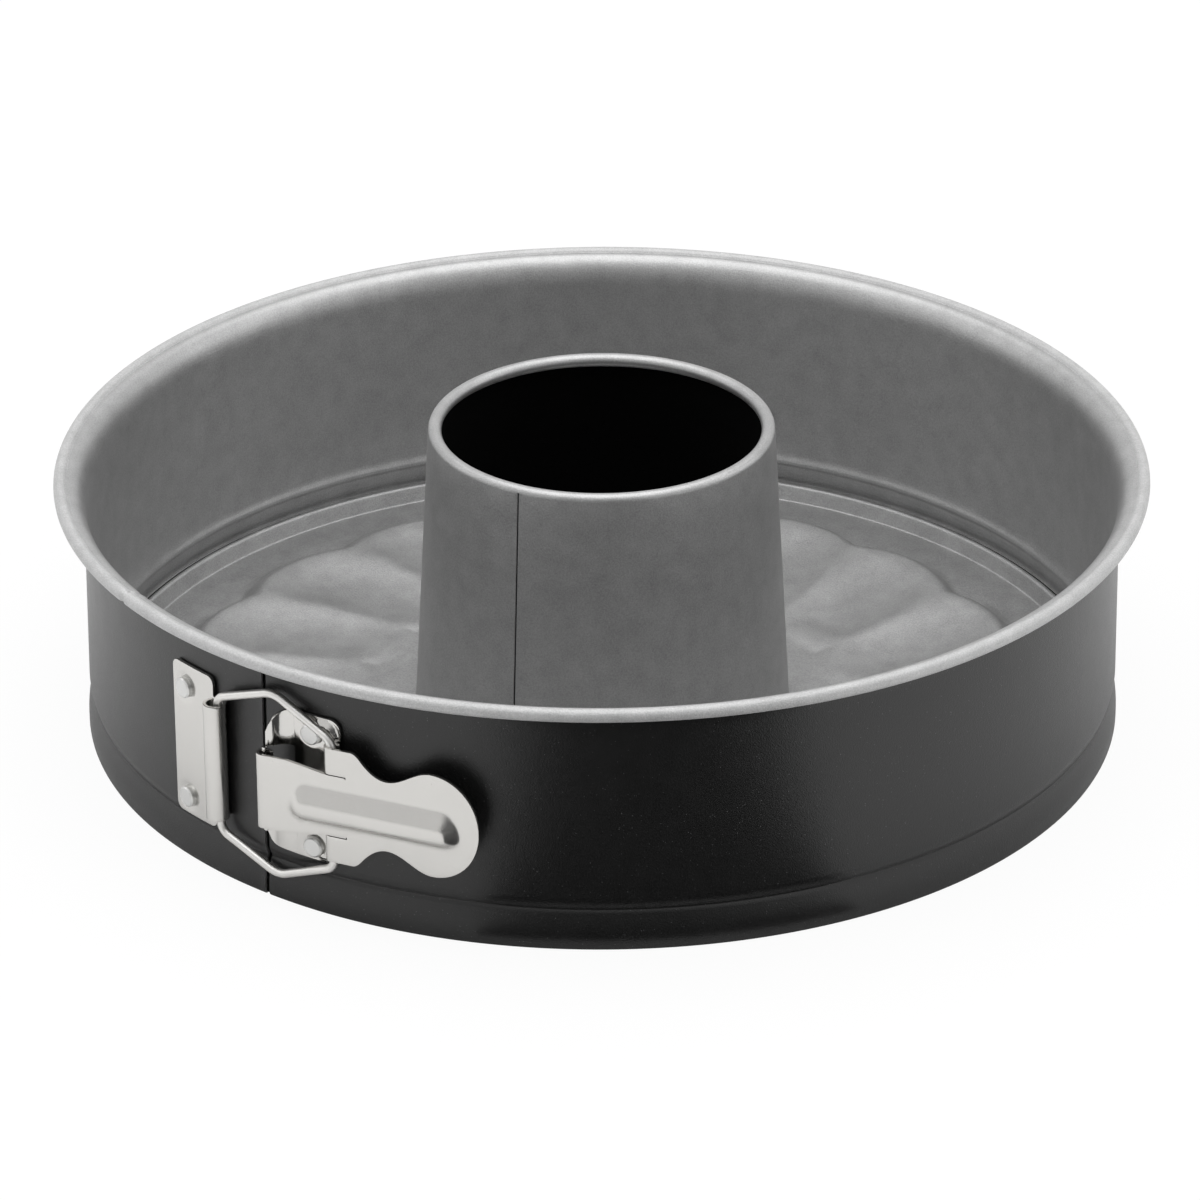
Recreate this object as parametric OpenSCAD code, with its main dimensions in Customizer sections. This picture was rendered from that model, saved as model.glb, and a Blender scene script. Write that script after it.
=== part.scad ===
// Springform savarin pan: a lapped sheet-metal ring with an over-centre clamp,
// and a loose base that carries the tube.
// The ring's axis is Z, the pan stands on z = 0, and the clamp faces -Y.

/* [Ring] */
// Outer diameter of the ring's straight wall
pan_d = 260; // [200:10:300]
// Height of the ring, from the table to the top of its rim bead
ring_h = 66.8; // [50:0.2:90]
// Thickness of the coated sheet of ring, base and tube
sheet_t = 0.6; // [0.4:0.1:1]
// Height of the foot below the groove
foot_h = 10.4; // [8:0.2:14]
// How far the foot stands out beyond the wall
foot_out = 0.7; // [0.3:0.1:1.5]
// Depth of the groove that stops the base
groove_d = 1.6; // [1:0.1:2.2]
// Height of the folded hem inside the foot
hem_h = 4; // [3:0.5:6]
// How much smaller the wall's radius is at the top than at the groove
wall_taper = 0.4; // [0:0.1:1]
// Height of the flare under the rim
flare_h = 7.2; // [5:0.2:10]
// Width of the flare under the rim
flare_w = 4; // [3:0.2:6]
// Diameter of the rolled bead along the rim
bead_d = 3.3; // [2.4:0.1:4]
// Length of the lap where the ring's inner end slides under its outer end
lap_len = 50; // [40:1:60]
// Clearance between the two ends of the ring in the lap
lap_gap = 0.3; // [0.2:0.05:0.5]
// Width of the seam line beside the outer end
seam_w = 0.4; // [0.2:0.1:1]
// Where the ring bends when it springs open, in degrees from the clamp
bend_angle = 120; // [110:5:140]

/* [Base and tube] */
// Clearance between the base's edge and the ring's inner end
base_gap = 0.4; // [0.2:0.1:1]
// Height of the base's raised edge
base_edge_h = 4.6; // [3:0.2:7]
// Slope of the raised edge's side, in degrees
base_slope = 62; // [50:1:75]
// Diameter of the roll along the base's edge
base_roll_d = 2; // [1.6:0.1:3]
// Number of petals pressed into the base
petals = 18; // [12:1:24]
// Height of a petal
petal_h = 5.5; // [3:0.5:7]
// Radius at which the petals start
petal_in_r = 58; // [54:1:62]
// Width of the flat border between the petals and the raised edge
petal_border = 15; // [8:1:24]
// Outer diameter of the tube at its foot
tube_foot_d = 95.2; // [80:0.4:104]
// Outer diameter of the tube under its lip
tube_top_d = 86.8; // [70:0.4:95]
// Height of the tube's lip above the table
tube_h = 77.4; // [60:0.2:100]
// Diameter of the roll along the tube's lip
tube_lip_d = 3.4; // [2.4:0.2:5]
// Height of the base's collar inside the tube
collar_h = 5; // [3:0.5:10]
// Clearance between the collar and the tube
collar_gap = 0.1; // [0.05:0.05:0.3]

/* [Clamp] */
// Height of the clamp's middle above the table
clamp_z = 32.8; // [30:0.2:40]
// Thickness of the clamp's steel strip
strip_t = 0.8; // [0.6:0.1:1.2]
// Height of the hinge plate
plate_h = 40.6; // [36:0.2:46]
// Height of the bracket above the clamp's middle
bracket_up = 20.3; // [18:0.1:23]
// Height of the bracket below the clamp's middle
bracket_down = 18.3; // [18:0.1:23]
// Radius of the raised corners of the bracket
bracket_ear_r = 8; // [5:0.5:10]
// Width of the hinge plate
hinge_plate_w = 15.6; // [12:0.5:20]
// Arc length from the seam to the hinge plate's wire axis
hook_x = 14.2; // [12:0.2:18]
// Distance of the wire from the wall at the hinge plate
hook_off = 2.6; // [2.2:0.1:3]
// Height of the hinge plate's hook
hook_h = 30.8; // [24:0.2:34]
// Arc length from the seam to the lever's pivot
pivot_x = 3.6; // [2:0.1:6]
// Distance of the lever's pivot from the wall
pivot_off = 5.8; // [4.5:0.1:7]
// Arc length from the seam to the wire axis in the lever's tabs
tab_x = 21; // [18:0.2:24]
// Distance of the wire from the wall in the lever's tabs
tab_off = 3.2; // [2.8:0.1:4]
// Arc length from the seam to the bracket's far edge
bracket_x = 22; // [20:0.5:26]
// Height of the bracket's window
window_h = 26; // [22:0.5:30]
// Diameter of the bracket's pivot bar
bar_d = 2.4; // [2:0.1:3]
// Diameter of the wire
wire_d = 2; // [1.6:0.1:2.4]
// Clearance of the wire and the bar in the parts that turn on them
turn_gap = 0.1; // [0.05:0.05:0.2]
// Clearance of the wire in the hinge plate's hook
hook_gap = 0.3; // [0.2:0.05:0.5]
// How far the wire's middle is below the clamp's middle
wire_drop = 0.7; // [0:0.1:1.5]
// Height of the wire's corners at the hinge plate, from the wire's middle
wire_hook_z = 17.9; // [17:0.1:19]
// Height of the wire's outer corners, from the wire's middle
wire_apex_z = 24.5; // [23:0.1:27]
// Height of the wire's corners at the tabs, from the wire's middle
wire_tab_z = 17; // [16:0.1:18]
// Bend radius of the wire
wire_bend = 2.5; // [2:0.1:4]
// Height of the lever's strip over the pivot bar
lever_strip_h = 19.6; // [16:0.2:24]
// Height of the lever across its tabs
lever_tab_h = 30.2; // [28:0.2:32]
// Height of the lever's neck
lever_neck_h = 18.4; // [14:0.5:24]
// Height of the lever's finger paddle
paddle_d = 27; // [22:0.5:32]
// How far the flat part of the lever leans towards the wall past the wire, in degrees
lever_lean = 5.3; // [0:0.1:7]
// Length of the finger paddle from its middle to its end
paddle_l = 12.2; // [10:0.2:16]
// Distance from the seam to the middle of the paddle, along the lever
paddle_x = 47.6; // [42:0.2:50]

/* [Rivets] */
// Diameter of a rivet's head
rivet_head_d = 4.6; // [4:0.2:6]
// Height of a rivet's head
rivet_head_h = 1.2; // [0.8:0.1:1.4]
// Diameter of a rivet's shank
rivet_d = 3; // [2.5:0.1:3.5]
// Distance between the two rivets of a plate
rivet_pitch = 29.7; // [26:0.1:32]
// Arc length from the seam to the hinge plate's rivets
hinge_rivet_x = 28.4; // [24:0.2:30]
// Arc length from the seam to the bracket's rivets
bracket_rivet_x = 13.8; // [12:0.1:16]

/* [Hidden] */
$fn = 144;

wall_r = pan_d / 2;
foot_r = wall_r + foot_out;
groove_z = foot_h + 1.6;
groove_lo = 2.2;
groove_hi = 2.6;
bead_r = bead_d / 2;
crease_r = sheet_t + 0.2;
crease_turn = 60;
bead_in_r = bead_r - sheet_t;
flange_z = ring_h - bead_r - crease_r + (crease_r + bead_in_r) * cos(crease_turn);
flange_r = wall_r - wall_taper + flare_w;
bead_x = flange_r + 0.15 + (crease_r + bead_in_r) * sin(crease_turn);
bead_z = ring_h - bead_r;
rim_r = bead_x + bead_r;
coated = "#8c8c8e";
coated_dark = "#3c3c3e";
steel = "#c8c6c1";

// Points along a path, moved to the left of its direction by e
function along(p, i) = p[min(i + 1, len(p) - 1)] - p[max(i - 1, 0)];
function beside(p, e) = [for (i = [0:len(p) - 1])
    let (d = along(p, i)) p[i] + e * [-d.y, d.x] / norm(d)];
// Closed outline of a sheet between two distances from a path
function sheet(p, near, far) = let (a = beside(p, near), b = beside(p, far))
    concat(a, [for (i = [len(b) - 1:-1:0]) b[i]]);
// Arc about c, from angle a to angle b
function arc(c, r, a, b, steps) = [for (i = [0:steps])
    let (t = a + (b - a) * i / steps) c + r * [cos(t), sin(t)]];
// Smooth step from 0 to 1
function ease(t) = (1 - cos(180 * t)) / 2;
// Place in plan at an arc length from the seam, with + towards the lever's end
function deg(x) = x / (wall_r + 3) * 180 / PI;
function place(x, off) = let (a = deg(x), r = wall_r + off) [r * sin(a), -r * cos(a)];

// Face of the ring's sheet at depth e inside its outer face, from the table to the flare's end.
// The depth is measured level up to the flare, and square to the sheet along it.
function flare_path() = [for (i = [0:14]) let (t = i * 90 / 14)
    [wall_r - wall_taper + flare_w * (1 - cos(t)), flange_z - flare_h * (1 - sin(t))]];
function wall_path(e) = concat(
    [[foot_r - e, 0]],
    [for (i = [0:8]) let (t = i / 8)
        [foot_r - e - (foot_out + groove_d) * ease(t), groove_z - groove_lo * (1 - t)]],
    [for (i = [1:10]) let (t = i / 10)
        [wall_r - e - groove_d * (1 - ease(t)), groove_z + groove_hi * t]],
    beside(flare_path(), e));
// Rest of the outer face: the crease beside the bead and the rolled bead
rim_path = concat(
    arc([flange_r + 0.15, flange_z + crease_r], crease_r, -90, crease_turn - 90, 4),
    arc([bead_x, bead_z], bead_in_r, 150, -150, 20));
// The inner end has no roll: its rim only covers the top of the outer end's bead
lap_near = sheet_t + lap_gap;
lap_far = lap_near + sheet_t;
lap_cover = arc([bead_x, bead_z], bead_r + lap_gap, 115, 80, 4);
function back(p) = [for (i = [len(p) - 1:-1:0]) p[i]];

module turned(outline, from, to) {
    rotate([0, 0, from - 90]) rotate_extrude(angle = to - from) polygon(outline);
}

module ring_sheet(from, to) {
    fold_r = foot_r - 2 * sheet_t;
    inside = [for (p = wall_path(sheet_t)) if (p.y > hem_h) p];
    turned(concat([[fold_r, 0]], wall_path(0), rim_path, back(beside(rim_path, sheet_t)), back(inside),
        [[foot_r - sheet_t, hem_h], [fold_r, hem_h]]), from, to);
}

module lap_sheet(from, to) {
    foot_z = hem_h + lap_gap;
    outer = [for (p = wall_path(lap_near)) if (p.y > foot_z) p];
    inner = [for (p = wall_path(lap_far)) if (p.y > foot_z) p];
    turned(concat([[foot_r - lap_near, foot_z]], outer, lap_cover, back(beside(lap_cover, sheet_t)),
        back(inner), [[foot_r - lap_far, foot_z]]), from, to);
}

split = 0.15 / wall_r * 180 / PI;
lap_angle = lap_len / wall_r * 180 / PI;
seam_angle = seam_w / wall_r * 180 / PI;
joggle_angle = 1.2;

module band_back() {
    color(coated_dark) ring_sheet(bend_angle + split, 360 - bend_angle - split);
}

module band_left() {
    color(coated_dark) ring_sheet(split - bend_angle, 0);
}

module band_right() {
    color(coated_dark) {
        ring_sheet(seam_angle, bend_angle - split);
        lap_sheet(-lap_angle, seam_angle + joggle_angle);
        turned(concat(wall_path(sheet_t / 2), back(wall_path(lap_near + sheet_t / 2))),
            seam_angle, seam_angle + joggle_angle);
    }
}

base_r = foot_r - lap_far - base_gap;
base_roll_r = base_roll_d / 2;
edge_top = [base_r - base_roll_r, base_edge_h - base_roll_r]
    + (base_roll_r - sheet_t) * [-sin(base_slope), cos(base_slope)];
slope_foot_r = edge_top.x - (edge_top.y - 0.4) / tan(base_slope);
tube_lean = (tube_foot_d - tube_top_d) / 2 / (tube_h - tube_lip_d);
collar_r = tube_foot_d / 2 - 2 * sheet_t - tube_lean * collar_h - collar_gap;
petal_out_r = slope_foot_r - petal_border;
petal_mid_r = (petal_in_r + petal_out_r) / 2;
petal_half_l = (petal_out_r - petal_in_r) / 2;
petal_half_w = petal_mid_r * sin(180 / petals) - 0.6;
crest_r = (pow(petal_half_l, 2) + pow(petal_h, 2)) / (2 * petal_h);
petal_side_r = (pow(petal_half_w, 2) + pow(petal_h, 2)) / (2 * petal_h);

// A petal is the top of a ring of round section that stands upright under the plate
module petal_ring(shrink) {
    translate([0, petal_mid_r, sheet_t + petal_h - crest_r]) rotate([0, 90, 0])
        rotate_extrude($fn = 96) translate([crest_r - petal_side_r, 0])
            circle(r = petal_side_r - shrink, $fn = 72);
}

module each_petal() {
    for (i = [0:petals - 1]) rotate([0, 0, i * 360 / petals]) children();
}

module petal_window() {
    translate([-petal_half_w - 1, petal_in_r - 1, 0])
        cube([2 * petal_half_w + 2, 2 * petal_half_l + 2, petal_h + 2]);
}

module base_plate() {
    roll_c = [base_r - base_roll_r, base_edge_h - base_roll_r];
    plate_path = concat([[collar_r, collar_h], [collar_r, 0.8]],
        arc([collar_r + 0.8, 0.8], 0.8, 180, 270, 4),
        [[slope_foot_r - 0.6, 0]],
        [[slope_foot_r, 0.4]],
        arc(roll_c, base_roll_r - sheet_t, 90 + base_slope, -110, 14));
    color(coated) {
        difference() {
            rotate_extrude() polygon(sheet(plate_path, 0, sheet_t));
            each_petal() intersection() {
                petal_ring(0);
                petal_window();
            }
        }
        each_petal() intersection() {
            difference() {
                petal_ring(0);
                petal_ring(sheet_t);
            }
            petal_window();
        }
    }
}

module tube() {
    lip_r = tube_lip_d / 2;
    lip_c = [tube_top_d / 2 - lip_r, tube_h - lip_r];
    tube_path = concat([[tube_foot_d / 2 - sheet_t, sheet_t]],
        arc(lip_c, lip_r - sheet_t, 0, 250, 16));
    color(coated) rotate_extrude() polygon(sheet(tube_path, 0, -sheet_t));
}

module rounded_slab(w, h, r, depth) {
    rotate([90, 0, 0]) linear_extrude(depth, center = true) polygon(concat(
        arc([w / 2 - r, h / 2 - r], r, 0, 90, 8), arc([r - w / 2, h / 2 - r], r, 90, 180, 8),
        arc([r - w / 2, r - h / 2], r, 180, 270, 8), arc([w / 2 - r, r - h / 2], r, 270, 360, 8)));
}

// A strip bent to the wall, between two arc lengths from the seam
module wall_strip(x0, x1, thick) {
    rotate([0, 0, deg(x0) - 90]) rotate_extrude(angle = deg(x1 - x0))
        translate([wall_r + 0.02, clamp_z - 30]) square([thick, 60]);
}

module facing(x) {
    rotate([0, 0, deg(x)]) translate([0, -wall_r, clamp_z]) children();
}

module rivet_holes(x) {
    for (s = [-1, 1]) facing(x) translate([0, 0, s * rivet_pitch / 2]) rotate([90, 0, 0])
        cylinder(d = rivet_d, h = 20, center = true, $fn = 32);
}

module rivets(x) {
    color(steel) for (s = [-1, 1]) facing(x) translate([0, 0, s * rivet_pitch / 2]) rotate([90, 0, 0]) {
        translate([0, 0, strip_t + 0.05]) cylinder(d = rivet_head_d, h = rivet_head_h, $fn = 48);
        translate([0, 0, 0.05]) cylinder(d = rivet_d - 0.2, h = strip_t + 0.1, $fn = 32);
    }
}

hook_p = place(-hook_x, hook_off);
hook_a = deg(-hook_x);
hook_in_r = wire_d / 2 + hook_gap;
hook_tongue = 3.5;
plate_mid_x = -hook_x - hook_tongue - hinge_plate_w / 2;

// The hinge plate and its tongue, drawn about the plate's middle
hinge_outline = let (w = hinge_plate_w / 2, h = plate_h / 2, k = hook_h / 2, r = 2,
    reach = w + hook_tongue + 1) concat(
        [[w, -k], [reach, -k], [reach, k], [w, k]],
        arc([w - r, h - r], r, 0, 90, 8), arc([r - w, h - r], r, 90, 180, 8),
        arc([r - w, r - h], r, 180, 270, 8), arc([w - r, r - h], r, 270, 360, 8));

module hinge_plate() {
    color(steel) difference() {
        union() {
            intersection() {
                wall_strip(plate_mid_x - hinge_plate_w / 2 - 1, 2 - hook_x, strip_t);
                facing(plate_mid_x) rotate([90, 0, 0]) linear_extrude(12, center = true)
                    polygon(hinge_outline);
            }
            translate([0, 0, clamp_z - hook_h / 2]) linear_extrude(hook_h) translate(hook_p)
                rotate(hook_a) polygon(concat(arc([0, 0], hook_in_r, 180, 35, 12),
                    arc([0, 0], hook_in_r + strip_t, 35, 180, 12)));
        }
        rivet_holes(-hinge_rivet_x);
    }
}

pivot_p = place(pivot_x, pivot_off);
tab_p = place(tab_x, tab_off);

module bracket() {
    bracket_h = bracket_up + bracket_down;
    up = (bracket_up - bracket_down) / 2;
    left_x = pivot_x - bar_d / 2 - 0.2;
    foot_x = pivot_x + 4.2;
    ear_path = [place(foot_x + 2, strip_t / 2), place(foot_x, strip_t / 2 + 0.3),
        place(pivot_x + 1.2, pivot_off - 0.6), pivot_p];
    color(steel) {
        difference() {
            intersection() {
                wall_strip(foot_x, bracket_x, strip_t);
                facing((foot_x + bracket_x) / 2 - 4) translate([0, 0, up])
                    rounded_slab(bracket_x - foot_x + 8, bracket_h, 3, 12);
            }
            rivet_holes(bracket_rivet_x);
        }
        intersection() {
            translate([0, 0, clamp_z - 30]) linear_extrude(60)
                polygon(sheet(ear_path, -strip_t / 2, strip_t / 2));
            difference() {
                facing(left_x + 12) translate([0, 0, up])
                    rounded_slab(24, bracket_h, bracket_ear_r, 30);
                facing(pivot_x + 2) cube([8, 30, window_h], center = true);
            }
        }
        translate([pivot_p.x, pivot_p.y, clamp_z - window_h / 2 - 1])
            cylinder(d = bar_d, h = window_h + 2, $fn = 48);
    }
}

curl_in_r = bar_d / 2 + turn_gap;
roll_in_r = wire_d / 2 + turn_gap;
lever_a = deg(tab_x);
// Past the wire the lever is flat, and leans towards the wall
function lever_flat(s) = place(tab_x, tab_off + roll_in_r + 0.05)
    + s * [cos(lever_a + lever_lean), sin(lever_a + lever_lean)];
// Face of the lever that looks at the wall, from the pivot's top to the paddle's end
lever_path = concat(
    arc(pivot_p, curl_in_r, -300, -100 + deg(pivot_x), 16),
    [lever_flat(0), lever_flat(paddle_x + paddle_l + 1 - tab_x)]);

// Half the lever's height against the distance along it
neck_x = tab_x + 15;
lever_half = concat([[-6, lever_strip_h / 2], [11, lever_strip_h / 2],
    [tab_x + 2.7, lever_strip_h / 2 - 2.6], [tab_x + 2.7, lever_tab_h / 2]],
    [for (i = [0:10]) let (t = i / 10) [tab_x + 7 + 8 * t,
        lever_tab_h / 2 - (lever_tab_h - lever_neck_h) / 2 * ease(t)]],
    [for (i = [1:10]) let (t = i / 10) [neck_x + (paddle_x - neck_x) * t,
        (lever_neck_h + (paddle_d - lever_neck_h) * ease(t)) / 2]],
    [for (i = [1:20]) let (t = 90 - i * 4.5)
        [paddle_x + paddle_l * cos(t), paddle_d / 2 * sin(t)]]);

module lever_outline() {
    polygon(concat(lever_half, [for (p = back(lever_half)) [p.x, -p.y]]));
}

module lever_sheet() {
    translate([0, 0, clamp_z - 20]) linear_extrude(40) polygon(sheet(lever_path, 0, -strip_t));
}

module clamp_lever() {
    color(steel) {
        intersection() {
            lever_sheet();
            facing(tab_x) translate([-tab_x, 0, 0]) rotate([90, 0, 0])
                linear_extrude(40, center = true) lever_outline();
        }
        for (s = [-1, 1]) translate([0, 0, clamp_z + s * (lever_tab_h / 2 + 8.4) / 2])
            linear_extrude(lever_tab_h / 2 - 8.4, center = true)
                polygon(sheet(concat(arc(tab_p, roll_in_r, -290 + lever_a, -90 + lever_a, 14),
                    [lever_flat(3.2)]), 0, -strip_t));
    }
}

// The wire's plane runs from the hook to the tabs; u is along it and v is up
wire_v = tab_p - hook_p;
wire_l = norm(wire_v);
wire_a = atan2(wire_v.y, wire_v.x);
apex_u = wire_l / 2;
corners = [[0, -wire_hook_z], [0, wire_hook_z], [apex_u, wire_apex_z], [wire_l, wire_tab_z],
    [wire_l, -wire_tab_z], [apex_u, -wire_apex_z]];

function turn(i) = let (a = corners[(i + 5) % 6], b = corners[i], c = corners[(i + 1) % 6],
    p = (b - a) / norm(b - a), q = (c - b) / norm(c - b)) acos(p * q);
function trim(i) = wire_bend * tan(turn(i) / 2);

// Legs run a little way into the bends, which are a hair thicker than the legs
module wire_leg(i) {
    a = corners[i];
    b = corners[(i + 1) % 6];
    d = (b - a) / norm(b - a);
    start = a + d * (trim(i) - 0.2);
    translate([start.x, 0, start.y]) rotate([0, 90 - atan2(d.y, d.x), 0])
        cylinder(d = wire_d, h = norm(b - a) - trim(i) - trim((i + 1) % 6) + 0.4, $fn = 32);
}

module wire_corner(i) {
    a = corners[(i + 5) % 6];
    b = corners[i];
    d = (b - a) / norm(b - a);
    c = b - d * trim(i) + wire_bend * [d.y, -d.x];
    translate([c.x, 0, c.y]) rotate([90, 0, 0]) rotate([0, 0, atan2(d.x, -d.y) - turn(i)])
        rotate_extrude(angle = turn(i), $fn = 72) translate([wire_bend, 0])
            circle(d = wire_d + 0.04, $fn = 32);
}

module wire_bail() {
    color(steel) translate([hook_p.x, hook_p.y, clamp_z - wire_drop]) rotate([0, 0, wire_a])
        for (i = [0:5]) {
            wire_leg(i);
            wire_corner(i);
        }
}

base_plate();
tube();
band_back();
band_left();
band_right();
hinge_plate();
rivets(-hinge_rivet_x);  // hinge_plate_rivets
bracket();
rivets(bracket_rivet_x);  // bracket_rivets
clamp_lever();
wire_bail();
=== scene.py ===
# %% [markdown]
# # A springform savarin pan
#
# The pan is four things of thin sheet metal: a springy ring that laps over itself, a loose base
# with petals pressed into it, a tapered tube that stands on the base, and a clamp that pulls the
# ring shut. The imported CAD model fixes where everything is. This file builds what the eye sees
# round that frame.

import math

import bmesh
import bpy
from mathutils import Matrix, Vector
from mathutils.kdtree import KDTree


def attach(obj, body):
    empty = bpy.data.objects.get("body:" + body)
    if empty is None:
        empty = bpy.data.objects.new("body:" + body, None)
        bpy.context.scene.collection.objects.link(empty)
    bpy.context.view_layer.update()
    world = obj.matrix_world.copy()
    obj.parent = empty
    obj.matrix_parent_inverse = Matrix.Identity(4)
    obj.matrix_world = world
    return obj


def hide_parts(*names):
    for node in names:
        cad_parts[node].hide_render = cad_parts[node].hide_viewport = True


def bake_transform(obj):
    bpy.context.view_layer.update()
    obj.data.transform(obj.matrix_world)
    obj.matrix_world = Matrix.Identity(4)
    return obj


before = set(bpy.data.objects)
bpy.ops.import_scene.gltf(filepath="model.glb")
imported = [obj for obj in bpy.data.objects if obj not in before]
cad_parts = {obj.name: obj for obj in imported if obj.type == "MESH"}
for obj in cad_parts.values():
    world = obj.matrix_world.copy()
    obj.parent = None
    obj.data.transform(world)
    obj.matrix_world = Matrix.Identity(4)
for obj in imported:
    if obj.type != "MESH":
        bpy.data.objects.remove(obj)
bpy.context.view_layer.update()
scene = bpy.context.scene
MM = 0.001

# %% [markdown]
# Sheet metal is drawn most easily as a line: the cross-section of one face. Arcs, straight runs
# and an S-shaped step are all that a press tool leaves, so three small functions draw every
# section here. Angles are in degrees. In plan, angle 0 is the seam, and it grows to the right of
# someone who faces the clamp.


# %% Lines and places
def arc(centre, radius, start, end, steps):
    """Points on an arc, as pairs of millimetres."""
    turns = [math.radians(start + (end - start) * i / steps) for i in range(steps + 1)]
    return [(centre[0] + radius * math.cos(t), centre[1] + radius * math.sin(t)) for t in turns]


def ease(t):
    """0 to 1 with no kink at either end; what lies outside is held."""
    t = min(max(t, 0.0), 1.0)
    return (1 - math.cos(math.pi * t)) / 2


def between(a, b, steps):
    """Points from a to b, without a."""
    return [(a[0] + (b[0] - a[0]) * i / steps, a[1] + (b[1] - a[1]) * i / steps)
            for i in range(1, steps + 1)]


def in_plan(radius, angle):
    """A point in plan in millimetres."""
    return Vector((radius * math.sin(math.radians(angle)), -radius * math.cos(math.radians(angle))))


def plan_angle(spot):
    """The angle in plan of a place, in degrees."""
    return math.degrees(math.atan2(spot.x, -spot.y))


WALL_R = 130.0
CLAMP_R = WALL_R + 3


def beside_seam(x, off):
    """A point in plan at arc length x from the seam, off millimetres outside the wall."""
    return in_plan(WALL_R + off, math.degrees(x / CLAMP_R))


# %% [markdown]
# ## Light
#
# The pan stands in a white room. The background is white because the camera sees the world and
# the floor at full strength, while the light that the object gets is set apart from that. One
# large soft box hangs overhead and a small one stands on each side. The room behind the camera is
# dark, and a black card lies on the table in front of the pan, where only reflections find it.
# Both together make the middle of the black wall really black, as a photographer would want it.


# %% The white room
CAMERA_SIDE = 37.65
TOWARDS_CAMERA, LOW_DOWN = (0.74, 0.99), (0.75, 0.42)


def light_the_room(ambient, dimmed):
    """White all round, but dimmed on the camera's side below about 40 degrees."""
    world = bpy.data.worlds.new("White room")
    scene.world = world
    world.use_nodes = True
    nodes, links = world.node_tree.nodes, world.node_tree.links
    nodes.clear()
    soft, plain = nodes.new("ShaderNodeBackground"), nodes.new("ShaderNodeBackground")
    soft.inputs["Color"].default_value = (1, 1, 1, 1)
    plain.inputs["Color"].default_value = (1, 1, 1, 1)
    plain.inputs["Strength"].default_value = 1.0
    look = nodes.new("ShaderNodeTexCoord").outputs["Generated"]
    facing, height = nodes.new("ShaderNodeVectorMath"), nodes.new("ShaderNodeSeparateXYZ")
    facing.operation = "DOT_PRODUCT"
    side = in_plan(1, CAMERA_SIDE)
    facing.inputs[1].default_value = (side.x, side.y, 0)
    links.new(look, facing.inputs[0])
    links.new(look, height.inputs[0])
    shares = []
    for socket, (low, high) in ((facing.outputs["Value"], TOWARDS_CAMERA),
                                (height.outputs["Z"], LOW_DOWN)):
        ramp = nodes.new("ShaderNodeMapRange")
        ramp.interpolation_type = "SMOOTHSTEP"
        ramp.inputs["From Min"].default_value, ramp.inputs["From Max"].default_value = low, high
        links.new(socket, ramp.inputs["Value"])
        shares.append(ramp.outputs["Result"])
    dark, level = nodes.new("ShaderNodeMath"), nodes.new("ShaderNodeMapRange")
    dark.operation = "MULTIPLY"
    links.new(shares[0], dark.inputs[0])
    links.new(shares[1], dark.inputs[1])
    links.new(dark.outputs[0], level.inputs["Value"])
    level.inputs["To Min"].default_value, level.inputs["To Max"].default_value = ambient, dimmed
    links.new(level.outputs["Result"], soft.inputs["Strength"])
    mix, out = nodes.new("ShaderNodeMixShader"), nodes.new("ShaderNodeOutputWorld")
    path = nodes.new("ShaderNodeLightPath")
    links.new(path.outputs["Is Camera Ray"], mix.inputs[0])
    links.new(soft.outputs[0], mix.inputs[1])
    links.new(plain.outputs[0], mix.inputs[2])
    links.new(mix.outputs[0], out.inputs["Surface"])


light_the_room(ambient=0.85, dimmed=0.12)

# %% [markdown]
# The overhead box hangs level, its middle a little beyond the pan's. The side boxes stand a
# little behind the pan and light its two flanks.

# %% Soft boxes
OVERHEAD_AT, OVERHEAD_SIZE, OVERHEAD_WATTS = (-0.061, 0.079, 1.4), (1.9, 1.7), 19
SIDE_REACH, SIDE_HEIGHT, SIDE_SIZE = 1.45, 0.8, (0.6, 1.0)


def soft_box(name, place, target, size, watts):
    """A soft box turned to the target, or one that hangs level, in line with the camera."""
    lamp = bpy.data.lights.new(name, "AREA")
    lamp.shape = "RECTANGLE"
    lamp.size, lamp.size_y = size
    lamp.energy = watts
    holder = bpy.data.objects.new(name, lamp)
    scene.collection.objects.link(holder)
    holder.location = place
    if target:
        holder.rotation_euler = (Vector(target) - Vector(place)).to_track_quat("-Z", "Y").to_euler()
    else:
        holder.rotation_euler = (0, 0, math.radians(CAMERA_SIDE))


soft_box("Overhead box", OVERHEAD_AT, None, OVERHEAD_SIZE, OVERHEAD_WATTS)
for side, watts in ((-97, 2.0), (97, 2.8)):
    spot = in_plan(SIDE_REACH, CAMERA_SIDE + side)
    soft_box("Side box", (spot.x, spot.y, SIDE_HEIGHT), (0, 0, 0.04), SIDE_SIZE, watts)

# %% [markdown]
# The floor is white paper that looks the same white as the background and still takes the pan's
# shadow. The card is a sector of black felt that begins right at the foot of the pan.

# %% Floor and card
FLOOR_GLOW = 0.93
CARD_EDGES = 0.1335, 2.2


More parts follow.
